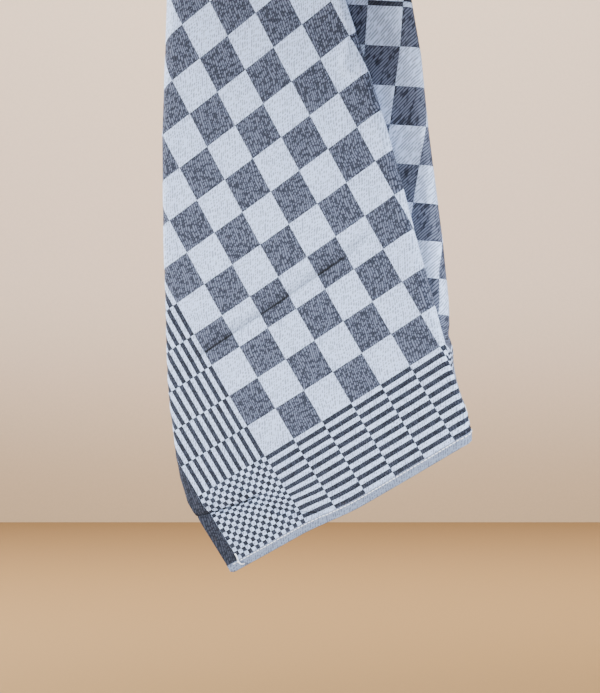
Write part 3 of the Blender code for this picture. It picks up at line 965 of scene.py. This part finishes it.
cottonThread = threadMaterial(streaks)
lower, upper = thread["fromEnd"], cloth["length"] - thread["fromEnd"]
hemStitches = [
    runningStitches("lower_hem_stitches", lower, points, normals, flat, cottonThread),
    runningStitches("upper_hem_stitches", upper, points, normals, flat, cottonThread),
    threadTie("hem_thread_tie", points, normals, flat, cottonThread),
]
print("hems stitched")

# floor, backdrop and camera
studio = {
    "azimuth": 26.0,
    "distance": 2.4,
    "target": (-0.1506, -0.0006, -0.0121),  # counted as the places in hang are
    "frameHeight": 0.5606,
    "sensor": 36.0,
    "floorDrop": 0.30,
    "wallShare": 2.025,  # camera to backdrop, in distances from camera to towel
    "halfWidth": 6.0,
    "floorDepth": 9.0,
    "wallHeight": 5.0,
    # the darker low colour is painted shade towards the backdrop's foot
    "wall": ((0.55, 0.385, 0.225, 1.0), (0.80, 0.62, 0.47, 1.0)),  # low and high
    "wallReach": 0.42,
    # the darker far colour is painted shade towards the backdrop
    "floor": ((0.245, 0.132, 0.038, 1.0), (0.52, 0.295, 0.092, 1.0)),  # far and near
    "floorReach": 2.2,
    "grainScale": 300.0,
    "grainDepth": 0.12,
    "roughness": 0.9,
    "air": (0.76, 0.81, 0.92, 1.0),
    "airStrength": 0.93,
}


def stageMaterial(name, colours, start, direction, reach):
    # colour = first colour at the start, second one at a distance along a direction; the darker first
    # colour is painted shade;
    # seen from behind, the stage is clear
    material, tree, shader = newMaterial(name)
    place = node(tree, "ShaderNodeTexCoord").outputs["Object"]
    away = node(tree, "ShaderNodeVectorMath", operation="SUBTRACT")
    plug(tree, place, away.inputs[0])
    plug(tree, tuple(start), away.inputs[1])
    along = node(tree, "ShaderNodeVectorMath", operation="DOT_PRODUCT")
    plug(tree, away.outputs["Vector"], along.inputs[0])
    plug(tree, tuple(direction), along.inputs[1])
    share = smoothRange(tree, along.outputs["Value"], 0.0, reach)
    depth = studio["grainDepth"]
    grain = noiseAt(tree, place, studio["grainScale"], 3.0)
    shade = node(tree, "ShaderNodeHueSaturation")
    feed(tree, shade, Color=mixed(tree, share, *colours),
         Value=calc(tree, "MULTIPLY_ADD", grain, depth, 1.0 - 0.5 * depth))
    feed(tree, shader, Base_Color=shade.outputs["Color"], Roughness=studio["roughness"])
    through = node(tree, "ShaderNodeMixShader")
    plug(tree, node(tree, "ShaderNodeNewGeometry").outputs["Backfacing"], through.inputs[0])
    plug(tree, shader.outputs[0], through.inputs[1])
    plug(tree, node(tree, "ShaderNodeBsdfTransparent").outputs[0], through.inputs[2])
    plug(tree, through.outputs[0], tree.nodes["Material Output"].inputs["Surface"])
    return material


def stagePlane(name, corners, material):
    mesh = bpy.data.meshes.new(name)
    mesh.from_pydata([tuple(corner) for corner in corners], [], [(0, 1, 2, 3)])
    plane = linked(name, mesh)
    plane.data.materials.append(material)


def pointed(made, direction):
    made.rotation_mode = "QUATERNION"
    made.rotation_quaternion = direction.to_track_quat("-Z", "Y")


def levelDirection(turn):
    # (sin turn, -cos turn, 0), the turn in degrees
    turn = math.radians(turn)
    return Vector((math.sin(turn), -math.cos(turn), 0.0))


back = levelDirection(studio["azimuth"])
aside = Vector((-back.y, back.x, 0.0))
upward = Vector((0.0, 0.0, 1.0))
target = Vector(studio["target"]) - Vector(hangingPoint.tolist())
foot = Vector((target.x, target.y, -studio["floorDrop"] - hangingPoint[2]))
wallFoot = foot - back * studio["distance"] * (studio["wallShare"] - 1.0)
wallLeft = wallFoot - aside * studio["halfWidth"]
wallRight = wallFoot + aside * studio["halfWidth"]
forward = back * studio["floorDepth"]
rise = upward * studio["wallHeight"]
floorPaint = stageMaterial("pale floor", studio["floor"], wallFoot, back, studio["floorReach"])
wallPaint = stageMaterial("pale backdrop", studio["wall"], wallFoot, upward, studio["wallReach"])
stagePlane("floor", [wallLeft, wallLeft + forward, wallRight + forward, wallRight], floorPaint)
stagePlane("backdrop", [wallLeft, wallRight, wallRight + rise, wallLeft + rise], wallPaint)

# each lamp: kind, place it aims at, its turn, distance and height from there, power, colour, shape
coolWhite = (0.90, 0.95, 1.00)
warmWhite = (1.00, 0.97, 0.94)
lamps = {
    "soft box left": ("AREA", target, -68.0, 1.5, -0.25, 132.0, coolWhite,
                      {"shape": "RECTANGLE", "size": 0.45, "size_y": 0.45}),
    "beam right": ("SPOT", target + aside * 0.125, 64.0, 1.6, -0.15, 320.0, coolWhite,
                   {"spot_size": math.radians(22.0), "spot_blend": 0.75, "shadow_soft_size": 0.12}),
    "wall wash": ("AREA", wallFoot + upward * 0.6, studio["azimuth"], 1.3, 1.6, 99.0, warmWhite,
                  {"shape": "RECTANGLE", "size": 3.0, "size_y": 0.8}),
}
for name, (kind, aim, turn, distance, height, power, colour, settings) in lamps.items():
    light = bpy.data.lights.new(name, kind)
    light.energy = power
    light.color = colour
    for setting, value in settings.items():
        setattr(light, setting, value)
    lamp = linked(name, light)
    offset = levelDirection(turn) * distance + upward * height
    lamp.location = aim + offset
    pointed(lamp, -offset)

world = bpy.data.worlds.new("studio air")
world.use_nodes = True
air = world.node_tree.nodes["Background"]
air.inputs["Color"].default_value = studio["air"]
air.inputs["Strength"].default_value = studio["airStrength"]
bpy.context.scene.world = world

lens = bpy.data.cameras.new("camera")
lens.sensor_width = studio["sensor"]
lens.lens = studio["sensor"] * studio["distance"] / studio["frameHeight"]
camera = linked("camera", lens)
camera.location = target + back * studio["distance"]
pointed(camera, -back)
bpy.context.scene.camera = camera
print("studio set")
